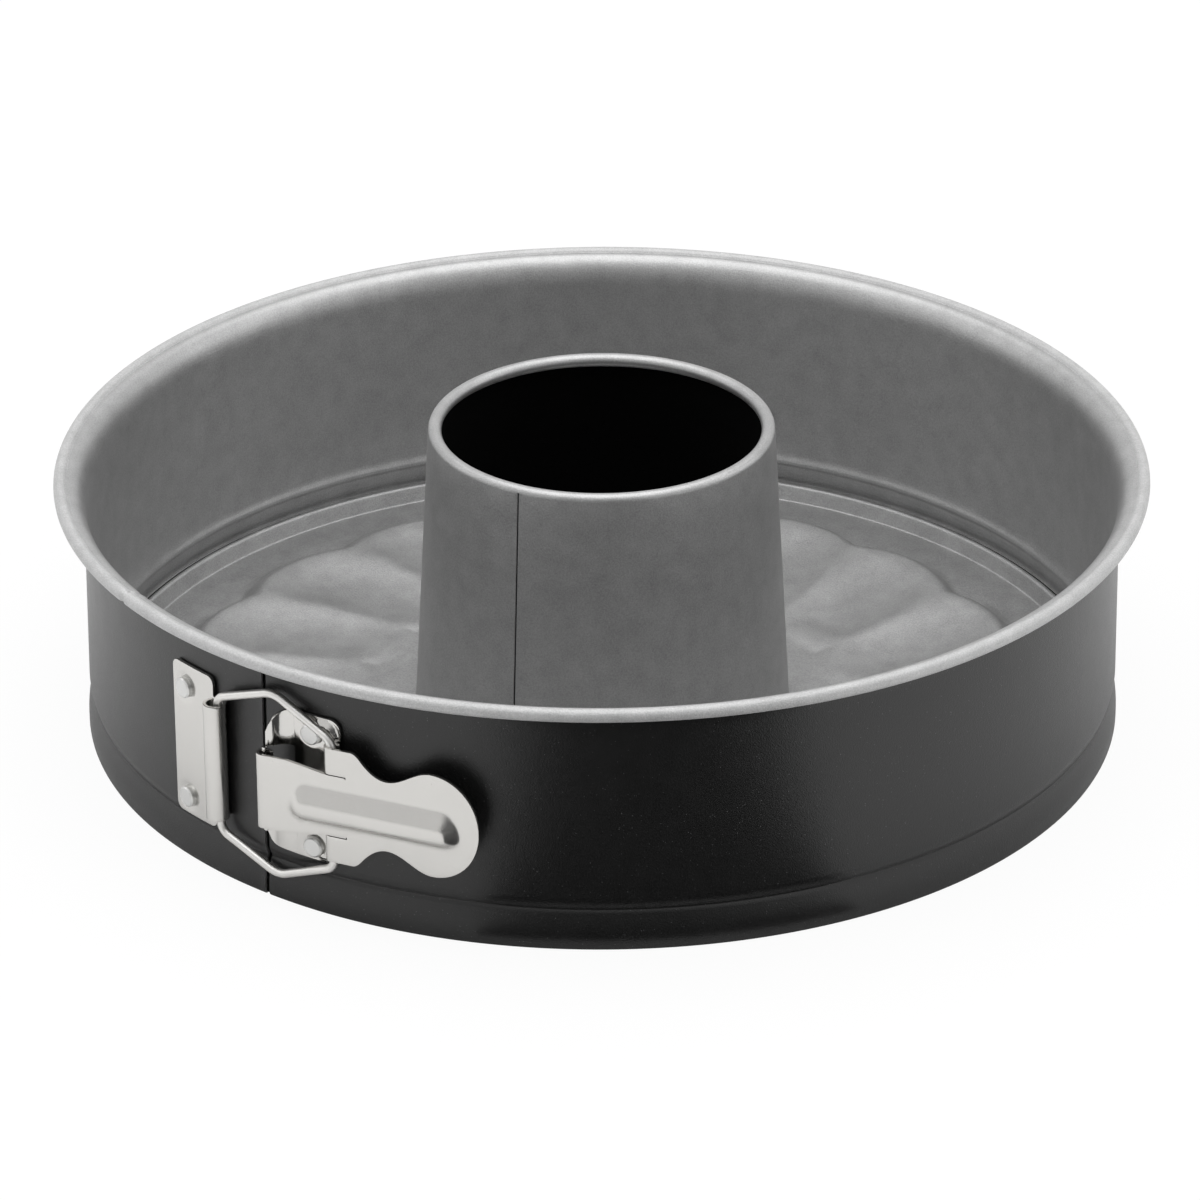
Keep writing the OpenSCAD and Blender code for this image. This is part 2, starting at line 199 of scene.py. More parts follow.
def lay_floor():
    bm = bmesh.new()
    bmesh.ops.create_grid(bm, x_segments=1, y_segments=1, size=6)
    mesh = bpy.data.meshes.new("Floor")
    bm.to_mesh(mesh)
    bm.free()
    floor = bpy.data.objects.new("Floor", mesh)
    scene.collection.objects.link(floor)
    paper = bpy.data.materials.new("White paper")
    paper.use_nodes = True
    nodes, links = paper.node_tree.nodes, paper.node_tree.links
    matt = nodes["Principled BSDF"]
    matt.inputs["Base Color"].default_value = (0.78, 0.78, 0.78, 1)
    matt.inputs["Roughness"].default_value = 0.9
    glow, mix = nodes.new("ShaderNodeEmission"), nodes.new("ShaderNodeMixShader")
    share = nodes.new("ShaderNodeMath")
    share.operation = "MULTIPLY"
    share.inputs[1].default_value = FLOOR_GLOW
    links.new(nodes.new("ShaderNodeLightPath").outputs["Is Camera Ray"], share.inputs[0])
    links.new(share.outputs[0], mix.inputs[0])
    links.new(matt.outputs[0], mix.inputs[1])
    links.new(glow.outputs[0], mix.inputs[2])
    links.new(mix.outputs[0], nodes["Material Output"].inputs["Surface"])
    mesh.materials.append(paper)


def lay_card(start, end):
    """A black card round the pan between two angles in plan, seen by reflections alone."""
    bm = bmesh.new()
    ends = [bm.verts.new((*in_plan(r, start), 0.001)) for r in CARD_EDGES]
    bmesh.ops.spin(bm, geom=ends + [bm.edges.new(ends)], cent=(0, 0, 0), axis=(0, 0, 1),
                   dvec=(0, 0, 0), angle=math.radians(end - start), steps=12)
    mesh = bpy.data.meshes.new("Black card")
    bm.to_mesh(mesh)
    bm.free()
    card = bpy.data.objects.new("Black card", mesh)
    scene.collection.objects.link(card)
    felt = bpy.data.materials.new("Black felt")
    felt.use_nodes = True
    matt = felt.node_tree.nodes["Principled BSDF"]
    matt.inputs["Base Color"].default_value = (0.03, 0.03, 0.03, 1)
    matt.inputs["Roughness"].default_value = 1.0
    mesh.materials.append(felt)
    card.visible_camera = card.visible_diffuse = card.visible_shadow = False


lay_floor()
lay_card(24, 66)

# %% [markdown]
# ## Camera
#
# The lens, place and tilt come from fitting the rim, foot and tube circles of the photograph. It
# is a long lens from 1.6 m away, a little over a tenth of a turn to the right of the seam.

# %% Camera
AZIMUTH, PITCH, ROLL = CAMERA_SIDE, 26.407, 0.212
DISTANCE, HEIGHT, SENSOR = 1424.4, 735.1, 36.0
PHOTO_PIXELS, FOCAL_PIXELS, ASIDE_PIXELS = 1200, 6282.3, -2.2


def place_camera():
    lens = bpy.data.cameras.new("Camera")
    lens.sensor_width = SENSOR
    lens.lens = FOCAL_PIXELS * SENSOR / PHOTO_PIXELS
    lens.shift_x = ASIDE_PIXELS / PHOTO_PIXELS
    lens.clip_start, lens.clip_end = 0.05, 20
    holder = bpy.data.objects.new("Camera", lens)
    scene.collection.objects.link(holder)
    spot = in_plan(DISTANCE, AZIMUTH)
    turn = (Matrix.Rotation(math.radians(AZIMUTH), 4, "Z")
            @ Matrix.Rotation(math.radians(90 - PITCH), 4, "X")
            @ Matrix.Rotation(math.radians(-ROLL), 4, "Z"))
    holder.matrix_world = Matrix.Translation(Vector((spot.x, spot.y, HEIGHT)) * MM) @ turn
    scene.camera = holder


place_camera()
scene.view_settings.view_transform = "Standard"

# %% [markdown]
# ## Finishes
#
# Inside is a grey coating with metal flakes in it, a little darker on the base; on the rim it is
# duller and painted lighter, where its bead faces up to the light. Outside is a nearly black one
# whose few flakes have painted glints. The tube's inside is the same black made darker and almost
# without shine, as painted shade in its hollow, and that black also paints the shade in the gaps of
# both seams. The clamp is nickel-plated: its strip satin, its bracket polished, its wire and rivets
# duller. What the finishes share is made once as node groups: a fine grain, the painted glints of
# scattered flakes and the wear that edges get in a drawer.


# %% Node helpers
def new_group(name, sockets_in, sockets_out):
    """A shader group; sockets_in maps names to default values."""
    group = bpy.data.node_groups.new(name, "ShaderNodeTree")
    for label, value in sockets_in.items():
        socket = group.interface.new_socket(label, in_out="INPUT", socket_type="NodeSocketFloat")
        socket.default_value = value
    for label in sockets_out:
        group.interface.new_socket(label, in_out="OUTPUT", socket_type="NodeSocketFloat")
    ends = group.nodes.new("NodeGroupInput"), group.nodes.new("NodeGroupOutput")
    return group, ends[0].outputs, ends[1].inputs


def calc(tree, kind, a, b=None, clamp=False):
    """A Math node; a and b are sockets or numbers."""
    node = tree.nodes.new("ShaderNodeMath")
    node.operation, node.use_clamp = kind, clamp
    for i, value in enumerate((a, b)):
        if value is None:
            continue
        if isinstance(value, (int, float)):
            node.inputs[i].default_value = value
        else:
            tree.links.new(value, node.inputs[i])
    return node.outputs[0]


# %% [markdown]
# The grain is the mottling of a sprayed and baked coat. The flakes are real, and their glints are
# painted light: a few flakes in a dark coat are coloured lighter, as if they lay flat and caught
# the light. Wear looks for sharp edges and breaks them up with a noise.


# %% Shared effects
def make_grain():
    """Mottling of a sprayed and baked coat, a fine noise on a slower one: about -1 to 1."""
    group, given, out = new_group("Coat grain", {"Scale": 1500.0, "Slow share": 0.3}, ["Grain"])
    where = group.nodes.new("ShaderNodeTexCoord").outputs["Object"]
    layers = []
    for factor, detail in ((1.0, 3.0), (0.07, 2.0)):
        noise = group.nodes.new("ShaderNodeTexNoise")
        noise.inputs["Detail"].default_value = detail
        group.links.new(where, noise.inputs["Vector"])
        group.links.new(calc(group, "MULTIPLY", given["Scale"], factor), noise.inputs["Scale"])
        centred = calc(group, "SUBTRACT", noise.outputs["Fac"], 0.5)
        layers.append(calc(group, "MULTIPLY", centred, 3.0))
    slow = calc(group, "MULTIPLY", layers[1], given["Slow share"])
    fine = calc(group, "MULTIPLY", layers[0], calc(group, "SUBTRACT", 1.0, given["Slow share"]))
    group.links.new(calc(group, "ADD", fine, slow), out["Grain"])
    return group


def make_wear():
    """1 on sharp outer edges, broken up by a noise, and 0 elsewhere."""
    group, given, out = new_group("Edge wear", {"From": 0.53, "Patchiness": 300.0}, ["Wear"])
    bend = group.nodes.new("ShaderNodeNewGeometry").outputs["Pointiness"]
    noise = group.nodes.new("ShaderNodeTexNoise")
    group.links.new(group.nodes.new("ShaderNodeTexCoord").outputs["Object"], noise.inputs["Vector"])
    group.links.new(given["Patchiness"], noise.inputs["Scale"])
    over = calc(group, "MULTIPLY", calc(group, "SUBTRACT", bend, given["From"]), 14.0, clamp=True)
    spread = calc(group, "SUBTRACT", noise.outputs["Fac"], 0.35)
    patch = calc(group, "MULTIPLY", spread, 3.0, clamp=True)
    group.links.new(calc(group, "MULTIPLY", over, patch), out["Wear"])
    return group


def make_flake_glints():
    """Painted glints: single flakes scattered in a dark coat, lit as if they caught the light."""
    group, given, out = new_group("Flakes with painted glints", {"Scale": 900.0, "Rarity": 0.96}, ["Sparks"])
    cells = group.nodes.new("ShaderNodeTexVoronoi")
    group.links.new(group.nodes.new("ShaderNodeTexCoord").outputs["Object"], cells.inputs["Vector"])
    group.links.new(given["Scale"], cells.inputs["Scale"])
    split = group.nodes.new("ShaderNodeSeparateColor")
    group.links.new(cells.outputs["Color"], split.inputs[0])
    chosen = calc(group, "GREATER_THAN", split.outputs[0], given["Rarity"])
    core = calc(group, "LESS_THAN", cells.outputs["Distance"], 0.28)
    strength = calc(group, "MULTIPLY", chosen, core)
    group.links.new(calc(group, "MULTIPLY", strength, split.outputs[1]), out["Sparks"])
    return group


GRAIN, WEAR, FLAKE_GLINTS = make_grain(), make_wear(), make_flake_glints()
print("shared effects:", [g.name for g in (GRAIN, WEAR, FLAKE_GLINTS)])


# %% [markdown]
# Every finish starts as a plain material. The grain varies its colour and its roughness, and it is
# a very low relief too.


# %% Material helpers
def start_material(name):
    material = bpy.data.materials.new(name)
    material.use_nodes = True
    return material, material.node_tree, material.node_tree.nodes["Principled BSDF"]


def use_group(tree, group, **values):
    node = tree.nodes.new("ShaderNodeGroup")
    node.node_tree = group
    for label, value in values.items():
        node.inputs[label.replace("_", " ")].default_value = value
    return node.outputs[0]


def tinted(tree, base, change, worn=None, worn_colour=None):
    """The base colour made lighter or darker by change, and worn_colour where worn is 1."""
    mix = tree.nodes.new("ShaderNodeMix")
    mix.data_type = "RGBA"
    mix.inputs["Factor"].default_value = 1.0
    mix.blend_type = "MULTIPLY"
    mix.inputs["A"].default_value = (*base, 1)
    factor = tree.nodes.new("ShaderNodeCombineColor")
    for i in range(3):
        tree.links.new(calc(tree, "ADD", change, 1.0), factor.inputs[i])
    tree.links.new(factor.outputs[0], mix.inputs["B"])
    if worn is None:
        return mix.outputs["Result"]
    rub = tree.nodes.new("ShaderNodeMix")
    rub.data_type = "RGBA"
    tree.links.new(worn, rub.inputs["Factor"])
    tree.links.new(mix.outputs["Result"], rub.inputs["A"])
    rub.inputs["B"].default_value = (*worn_colour, 1)
    return rub.outputs["Result"]


def bumped(tree, shader, height, depth):
    bump = tree.nodes.new("ShaderNodeBump")
    bump.inputs["Strength"].default_value = 1.0
    bump.inputs["Distance"].default_value = depth
    tree.links.new(height, bump.inputs["Height"])
    tree.links.new(bump.outputs[0], shader.inputs["Normal"])


# %% [markdown]
# Two functions make all finishes: a baked coat, which can have flakes with painted glints and worn
# edges, and bare plated metal. After a coat's colour stand its metallic share, its roughness, the
# scale of its grain, how much that changes the colour, and its relief in metres. After a metal's
# colour stand roughness and relief.


# %% Finishes
def coat(name, colour, metallic, roughness, grain_scale, contrast, relief, glint_scale=None,
         worn_colour=None, shine=0.5):
    """A baked coating on sheet steel."""
    material, tree, shader = start_material(name)
    grain = use_group(tree, GRAIN, Scale=grain_scale)
    change = calc(tree, "MULTIPLY", grain, contrast)
    worn = None
    if worn_colour:
        worn = calc(tree, "MULTIPLY", use_group(tree, WEAR), 0.6)
    colour_out = tinted(tree, colour, change, worn, worn_colour)
    # Painted glints: a few flakes mixed towards light grey, as if they caught the light.
    if glint_scale:
        flake_glints = calc(tree, "MULTIPLY", use_group(tree, FLAKE_GLINTS, Scale=glint_scale), 0.12)
        lit = tree.nodes.new("ShaderNodeMix")
        lit.data_type = "RGBA"
        tree.links.new(flake_glints, lit.inputs["Factor"])
        tree.links.new(colour_out, lit.inputs["A"])
        lit.inputs["B"].default_value = (0.75, 0.76, 0.78, 1)
        colour_out = lit.outputs["Result"]
    tree.links.new(colour_out, shader.inputs["Base Color"])
    shader.inputs["Metallic"].default_value = metallic
    shader.inputs["Specular IOR Level"].default_value = shine
    rough = calc(tree, "ADD", calc(tree, "MULTIPLY", grain, 0.05), roughness, clamp=True)
    tree.links.new(rough, shader.inputs["Roughness"])
    bumped(tree, shader, grain, relief)
    return material


def plated(name, colour, roughness, relief):
    """Bare metal on the clamp: a faint cloudiness and a fine grain."""
    material, tree, shader = start_material(name)
    grain = use_group(tree, GRAIN, Scale=2200.0, Slow_share=0.5)
    cloudy = tinted(tree, colour, calc(tree, "MULTIPLY", grain, 0.05))
    tree.links.new(cloudy, shader.inputs["Base Color"])
    shader.inputs["Metallic"].default_value = 1.0
    rough = calc(tree, "ADD", calc(tree, "MULTIPLY", grain, 0.06), roughness, clamp=True)
    tree.links.new(rough, shader.inputs["Roughness"])
    bumped(tree, shader, grain, relief)
    return material


GREY_COAT = coat("Grey flake coating", (0.39, 0.39, 0.39), 0.8, 0.42, 2600, 0.34, 0.00003)
BASE_GREY = coat("Grey coating on the base", (0.34, 0.34, 0.34), 0.8, 0.47, 2600, 0.4, 0.00004)
# The rim's grey is the same coat, duller and painted lighter where its bead faces up to the light.
RIM_GREY_PAINTED_LIGHT = coat("Grey coating painted lighter on the rim", (0.43, 0.43, 0.43), 0.45, 0.55, 2600, 0.34, 0.00004)
BLACK_COAT = coat("Black satin coating", (0.005, 0.005, 0.005), 0.0, 0.36, 2600, 0.6, 0.00003,
                  glint_scale=2600, worn_colour=(0.03, 0.03, 0.03), shine=0.55)
# The black coat made darker and nearly without shine: painted shade in the tube's hollow and in the
# gaps of the seams.
TUBE_BLACK_PAINTED_SHADE = coat("Black painted shade in the tube and seams", (0.001, 0.001, 0.001), 0.0, 0.9, 1800, 0.2, 0.00002,
                  shine=0.05)
NICKEL = plated("Satin nickel", (0.58, 0.57, 0.55), 0.24, 0.000006)
WIRE_NICKEL = plated("Drawn nickel wire", (0.70, 0.69, 0.67), 0.42, 0.000006)
POLISHED = plated("Polished nickel", (0.58, 0.57, 0.55), 0.12, 0.000004)
RIVET_GREY = plated("Zinc rivets", (0.62, 0.62, 0.61), 0.4, 0.00002)


# %% [markdown]
# ## From a line to sheet metal
#
# A round part is its section spun about the axis. The section is drawn along one face only, with
# the other face on its left. The Solidify modifier then gives the sheet its thickness and can put
# a second finish on the inside, which is just how coated sheet is: one colour a side. Edges
# sharper than 35 degrees stay crisp, and everything else is shaded smooth.


# %% Sheet helpers
SHARP = 35


def shade(bm, sharp):
    """Smooth everywhere, apart from edges that are sharper than so many degrees."""
    for face in bm.faces:
        face.smooth = True
    limit = math.radians(sharp)
    for edge in bm.edges:
        edge.smooth = len(edge.link_faces) != 2 or edge.calc_face_angle(0) < limit


def to_object(name, bm, materials, sharp=SHARP):
    """A Blender object from a bmesh, smooth apart from its sharp edges."""
    shade(bm, sharp)
    mesh = bpy.data.meshes.new(name)
    bm.to_mesh(mesh)
    bm.free()
    for material in materials:
        mesh.materials.append(material)
    piece = bpy.data.objects.new(name, mesh)
    scene.collection.objects.link(piece)
    return piece


def apply_modifiers(piece):
    """Makes what the modifiers show the mesh itself."""
    depsgraph = bpy.context.evaluated_depsgraph_get()
    mesh = bpy.data.meshes.new_from_object(piece.evaluated_get(depsgraph))
    old = piece.data
    piece.modifiers.clear()
    piece.data = mesh
    bpy.data.meshes.remove(old)


def thicken(piece, thickness, second_face=0, bevel=0.0):
    """Gives a sheet its second face behind the first, and can round its cut edges a little."""
    wall = piece.modifiers.new("Sheet", "SOLIDIFY")
    wall.thickness = thickness * MM
    wall.offset = -1
    wall.use_even_offset = True
    wall.material_offset = second_face
    wall.material_offset_rim = second_face
    if bevel:
        edge = piece.modifiers.new("Edges", "BEVEL")
        edge.width = bevel * MM
        edge.segments = 2
        edge.limit_method = "ANGLE"
        edge.angle_limit = math.radians(50)
    apply_modifiers(piece)
    bm = bmesh.new()
    bm.from_mesh(piece.data)
    shade(bm, SHARP)
    bm.to_mesh(piece.data)
    bm.free()


# %% [markdown]
# The next two turn a section into a round sheet. The second makes sure that the front of every
# face lies on the side that the section was drawn for, because the thickness is added behind it.


# %% Spinning a section
def spin_section(bm, section, start, end, steps):
    """Spins a section of (radius, height) points about the pan's axis between two angles."""
    verts = []
    for radius, height in section:
        spot = in_plan(radius, start)
        verts.append(bm.verts.new(Vector((spot.x, spot.y, height)) * MM))
    edges = [bm.edges.new(pair) for pair in zip(verts, verts[1:])]
    bmesh.ops.spin(bm, geom=verts + edges, cent=(0, 0, 0), axis=(0, 0, 1), dvec=(0, 0, 0),
                   angle=math.radians(end - start), steps=steps)


def face_right(bm, section):
    """Turns the faces so that their front is on the right of the section's direction."""
    bmesh.ops.remove_doubles(bm, verts=bm.verts, dist=0.002 * MM)
    middle = len(section) // 2
    a, b = Vector(section[middle]), Vector(section[middle + 1])
    want = Vector((b.y - a.y, a.x - b.x)).normalized()
    spot = (a + b) / 2
    best = min(bm.faces, key=lambda f: abs(f.calc_center_median().xy.length / MM - spot.x)
               + abs(f.calc_center_median().z / MM - spot.y))
    centre = best.calc_center_median()
    out = Vector((centre.x, centre.y)).normalized()
    bmesh.ops.recalc_face_normals(bm, faces=bm.faces)
    best.normal_update()
    if best.normal.xy.dot(out) * want.x + best.normal.z * want.y < 0:
        bmesh.ops.reverse_faces(bm, faces=bm.faces)


# %% [markdown]
# ## The ring
#
# The ring's strip starts as a hem folded up inside the foot, runs down and round, up the foot,
# through the groove that stops the base, up the wall, out into the flare, and ends in a bead
# rolled outwards. The roll shows the inner face of the sheet, which is why the rim is grey
# although the wall is black.

# %% The ring's section
SHEET = 0.6
FOOT_R, FOOT_TOP_R, GROOVE_R, GROOVE_Z = 130.5, 129.35, 129.05, 10.4
FOOT_STRAIGHT, FOOT_CURVE, GROOVE_BEND = 2.6, 7.2, 0.62
SHOULDER_Z, SHOULDER_RISE = 10.75, 3.2
FLARE_TOP, FLARE_DROP, FLARE_OUT, FLARE_ROOT = 65.275, 7.2, 4.0, WALL_R - 0.4
BEAD, BEAD_ROLL = (135.352, 65.15), 1.05
HEM_BEND, HEM_HEIGHT, HEM_TOP = 0.65, 4.0, 4.5


def ring_section():
    line = [(FOOT_R - 2 * HEM_BEND, HEM_HEIGHT), (FOOT_R - 2 * HEM_BEND, 2.0)]
    line += arc((FOOT_R - HEM_BEND, HEM_BEND), HEM_BEND, 180, 360, 10)
    line += between((FOOT_R, HEM_BEND), (FOOT_R, FOOT_STRAIGHT), 3)
    for i in range(1, 13):
        t = i / 12
        in_by = (FOOT_R - FOOT_TOP_R) * (1 - math.cos(math.pi / 2 * t))
        line.append((FOOT_R - in_by, FOOT_STRAIGHT + FOOT_CURVE * t))
    line += arc((GROOVE_R + GROOVE_BEND, GROOVE_Z), GROOVE_BEND, 210, 150, 6)
    for i in range(1, 15):
        t = i / 14
        in_by = (WALL_R - GROOVE_R - 0.08) * (1 - t) ** 2
        line.append((WALL_R - in_by, SHOULDER_Z + SHOULDER_RISE * t))
    line += between(line[-1], (FLARE_ROOT, FLARE_TOP - FLARE_DROP), 12)
    for i in range(1, 17):
        t = math.radians(i * 90 / 16)
        line.append((FLARE_ROOT + FLARE_OUT * (1 - math.cos(t)),
                     FLARE_TOP - FLARE_DROP * (1 - math.sin(t))))
    line += arc((133.75, FLARE_TOP + 0.8), 0.8, -90, -30, 6)
    line += arc(BEAD, BEAD_ROLL, 150, -150, 26)[1:]
    return line


RING = ring_section()
print("ring section:", len(RING), "points, rim radius", round(max(r for r, z in RING) + SHEET, 2))

# %% [markdown]
# The ring is made in two halves that meet at the back, because each half bends a little when the
# clamp opens. The left half ends at the seam. The right half goes on behind it: there its wall
# lies inside the left wall, but its bead is rolled over the left bead, which is pressed smaller
# to fit in it.

# %% The lap
LAP_END = -19.3
LAP_GAP = 0.64
SEAM_AT, STEP_AT, STEP_WIDTH = -0.85, -0.6, 0.4
PRESSED_FROM, PRESSED_OVER = LAP_END - 1.4, 1.2
BEAD_Z, BEAD_RISE, BEAD_FROM = 58, 7, 133.4


def lap_shifts():
    """For each point of the section: which way is left, and how much it belongs to the bead."""
    lefts, shares = [], []
    for i, (radius, height) in enumerate(RING):
        a, b = Vector(RING[max(i - 1, 0)]), Vector(RING[min(i + 1, len(RING) - 1)])
        d = (b - a).normalized()
        lefts.append(Vector((-1, 0)) if height < 20 else Vector((-d.y, d.x)))
        shares.append(ease((height - BEAD_Z) / BEAD_RISE) if radius < BEAD_FROM else 1.0)
    return lefts, shares


def press_lap(bm, right_half):
    """Behind the seam the right half steps inwards; under its bead the left bead is smaller."""
    lookup = KDTree(len(RING))
    for i, (radius, height) in enumerate(RING):
        lookup.insert((radius, height, 0), i)
    lookup.balance()
    lefts, shares = lap_shifts()
    for vert in bm.verts:
        angle = plan_angle(vert.co)
        if not -30 < angle < 10:
            continue
        i = lookup.find((vert.co.xy.length / MM, vert.co.z / MM, 0))[1]
        if right_half:
            move = LAP_GAP * (1 - shares[i]) * (1 - ease((angle - STEP_AT) / STEP_WIDTH))
        else:
            move = -LAP_GAP * shares[i] * ease((angle - PRESSED_FROM) / PRESSED_OVER)
        vert.co.xy += vert.co.xy.normalized() * lefts[i].x * move * MM
        vert.co.z += lefts[i].y * move * MM


# %% [markdown]
# Each half is spun in spans, with narrow faces at the lap and wide ones elsewhere. The seam is a
# thin line of painted shade: the faces in its narrow gap take the black of the tube's inside. The
# rim has the same grey coat, duller and painted lighter where its bead faces up to the light. The
# hem is left off where it would lie in the other half.

# %% Two halves
SEAM_SHADE_SLOT, LIT_RIM_SLOT = 2, 4
SEAM_SHADE_TOP, LIT_RIM_FROM = 64, 134


def make_half(name, spans, stepped):
    bm = bmesh.new()
    for start, end, steps in spans:
        spin_section(bm, RING, start, end, steps)
    face_right(bm, RING)
    if stepped:
        places = [(f, f.calc_center_median()) for f in bm.faces]
        low = [f for f, spot in places
               if spot.z < HEM_TOP * MM and spot.y < 0 and plan_angle(spot) < SEAM_AT]
        bmesh.ops.delete(bm, geom=low, context="FACES")
    press_lap(bm, stepped)
    for face in bm.faces:
        spot = face.calc_center_median()
        # Painted shade: faces in the narrow gap at the seam take the tube's black.
        in_seam_shade = SEAM_AT - 0.2 < plan_angle(spot) < STEP_AT + 0.05
        if stepped and in_seam_shade and spot.z < SEAM_SHADE_TOP * MM:
            face.material_index = SEAM_SHADE_SLOT
        # Painted light: the rim takes a lighter, duller grey, for its bead that faces up to the
        # light.
        if spot.xy.length > LIT_RIM_FROM * MM:
            face.material_index = LIT_RIM_SLOT
    finishes = [BLACK_COAT, GREY_COAT] * 2 + [BLACK_COAT, RIM_GREY_PAINTED_LIGHT]
    finishes[SEAM_SHADE_SLOT] = TUBE_BLACK_PAINTED_SHADE
    piece = to_object(name, bm, finishes)
    thicken(piece, SHEET, second_face=1)
    return piece


LEFT_SPANS = (-180, -21, 116), (-21, -18, 12), (-18, SEAM_AT, 14)
RIGHT_SPANS = (LAP_END, -1.2, 16), (-1.2, 0.2, 28), (0.2, 180, 128)
ring_left = make_half("ring_left_half", LEFT_SPANS, False)
ring_right = make_half("ring_right_half", RIGHT_SPANS, True)
for piece, side, body, node in ((ring_left, -1, "ring_left", "band_left"),
                                (ring_right, 1, "ring_right", "band_right")):
    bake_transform(piece)
    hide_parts(node, "band_back")
    print(piece.name, len(piece.data.polygons), "faces")

# %% [markdown]
# ## The base and its petals
#
# The base is one sheet: a collar that the tube sits over, a flat ring, the petals, a plain border
# and a raised edge rolled outwards. The petals are pressed in a wreath that stands above the
# sheet and is highest at its outer side. Each is a shallow scoop: it starts at its round outer
# arc, sinks towards the tube and ends in a low heel, and a ridge parts it from the next. The
# wreath is swept a little to one side, and so is the mesh, so that every ridge lies on a line of
# it.

# %% Petals
PETALS, PETAL_TURN, PETAL_SWEEP = 18, 9.1, 8.7
PETAL_IN, PETAL_OUT = 57.0, 113.5
HIGH, LOW, SCOOP = 3.9, 0.7, 0.6
ARC_R, ARC_CURVE, ARC_FALL = 108.0, 4.5, 6.0
HEEL_R, HEEL_CURVE, HEEL_FALL = 61.0, 3.0, 7.0
RIDGE_WIDTH, SCOOP_SHAPE = 0.12, 2.2


def petal_turn(radius):
    """How far the wreath is turned at a radius, in degrees."""
    along = min(max((radius - PETAL_IN) / (PETAL_OUT - PETAL_IN), 0.0), 1.0)
    return PETAL_TURN - PETAL_SWEEP * (1 - along)


def petal_height(radius, angle):
    """Height in mm of the petals above the flat sheet at a radius and an angle in plan."""
    if not PETAL_IN < radius < PETAL_OUT:
        return 0.0
    across = abs(((angle - petal_turn(radius)) * PETALS / 360 + 0.5) % 1.0 - 0.5) * 2
    arc_at = ARC_R - ARC_CURVE * across ** 2
    heel_at = HEEL_R + HEEL_CURVE * across ** 2
    level = LOW + (HIGH - LOW) * min(max((radius - 64) / 40, 0.0), 1.0)
    outer = ease((arc_at + 5.5 - radius) / ARC_FALL)
    inner = ease((radius - heel_at + 5.0) / HEEL_FALL)
    wreath = level * outer * inner
    rounded = math.hypot(1 - across, RIDGE_WIDTH) - RIDGE_WIDTH
    sink = math.sin(math.pi / 2 * min(max((arc_at - radius) / 24.0, 0.0), 1.0))
    scooped = 1 - (1 - rounded / 0.89) ** SCOOP_SHAPE
    return wreath - SCOOP * level * scooped * sink * ease((radius - heel_at) / 10.0)


# %% [markdown]
# The base is spun flat first, in 504 steps, which is 28 for each petal. Then the mesh is twisted
# and its flat part is lifted into petals.

# %% Base
EDGE_TOP_R, EDGE_Z, EDGE_ROLL = 128.8, 4.6, 1.0


def base_section():
    line = [(46.02, 5.0), (46.02, 3.0)] + arc((46.82, 0.8), 0.8, 180, 270, 5)
    line += between((46.82, 0), (56.0, 0), 4)
    line += between((56.0, 0), (112.0, 0), 62)
    line += between((112.0, 0), (124.9, 0), 5)
    line += arc((124.9, 1.2), 1.2, -90, -20, 6)[1:]
    roll = arc((EDGE_TOP_R - EDGE_ROLL, EDGE_Z - EDGE_ROLL), EDGE_ROLL - SHEET, 160, -110, 14)
    line += between(line[-1], roll[0], 3) + roll[1:]
    return line


def make_base():
    section = base_section()
    bm = bmesh.new()
    spin_section(bm, section, 0, 360, 504)
    face_right(bm, section)
    for vert in bm.verts:
        radius = vert.co.xy.length / MM
        angle = plan_angle(vert.co) + petal_turn(radius)
        vert.co.xy = in_plan(radius, angle) * MM
        if vert.co.z < 0.1 * MM:
            vert.co.z += petal_height(radius, angle) * MM
    piece = to_object("base_plate_pressed", bm, (BLACK_COAT, BASE_GREY), 50)
    thicken(piece, SHEET, second_face=1)
    return piece


base = make_base()
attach(base, "base")
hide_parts("base_plate")
print(base.name, len(base.data.polygons), "faces")

# %% [markdown]
# ## The tube
#
# The tube is a strip bent into a cone, with its lip rolled inwards. Its two ends meet in one narrow
# joint, which is pressed in a little and runs up to the lip; its middle is painted shade in the
# tube's black, for the gap between the ends. Its section is drawn along the outer face, so the
# black inside, darkened as painted shade, is the second face.

# %% Tube
TUBE_SEAM, SEAM_HALF, SEAM_DEPTH = 9.5, 0.36, 0.55
TUBE_FOOT, TUBE_NECK = (47.6, 0.6), (43.4, 75.7)
TUBE_LIP, LIP_ROLL = (41.7, 75.7), 1.7


def make_tube():
    section = [TUBE_FOOT] + between(TUBE_FOOT, TUBE_NECK, 14)
    section += arc(TUBE_LIP, LIP_ROLL, 0, 250, 18)[1:]
    bm = bmesh.new()
    spin_section(bm, section, TUBE_SEAM + SEAM_HALF, TUBE_SEAM + 360 - SEAM_HALF, 180)
    spin_section(bm, section, TUBE_SEAM - SEAM_HALF, TUBE_SEAM + SEAM_HALF, 8)
    face_right(bm, section)
    for vert in bm.verts:
        aside = plan_angle(vert.co) - TUBE_SEAM
        if abs(aside) < SEAM_HALF and vert.co.z < 76 * MM:
            depth = SEAM_DEPTH * (1 - ease(abs(aside) / SEAM_HALF))
            vert.co.xy -= vert.co.xy.normalized() * depth * MM
    # Painted shade: the middle of the joint takes the tube's black, for the gap between the ends.
    for face in bm.faces:
        spot = face.calc_center_median()
        if abs(plan_angle(spot) - TUBE_SEAM) < 0.6 * SEAM_HALF and spot.z < 75 * MM:
            face.material_index = 1
    piece = to_object("tube_rolled", bm, (GREY_COAT, TUBE_BLACK_PAINTED_SHADE), 50)
    thicken(piece, SHEET, second_face=1)
    return piece


tube = make_tube()
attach(tube, "base")
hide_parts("tube")

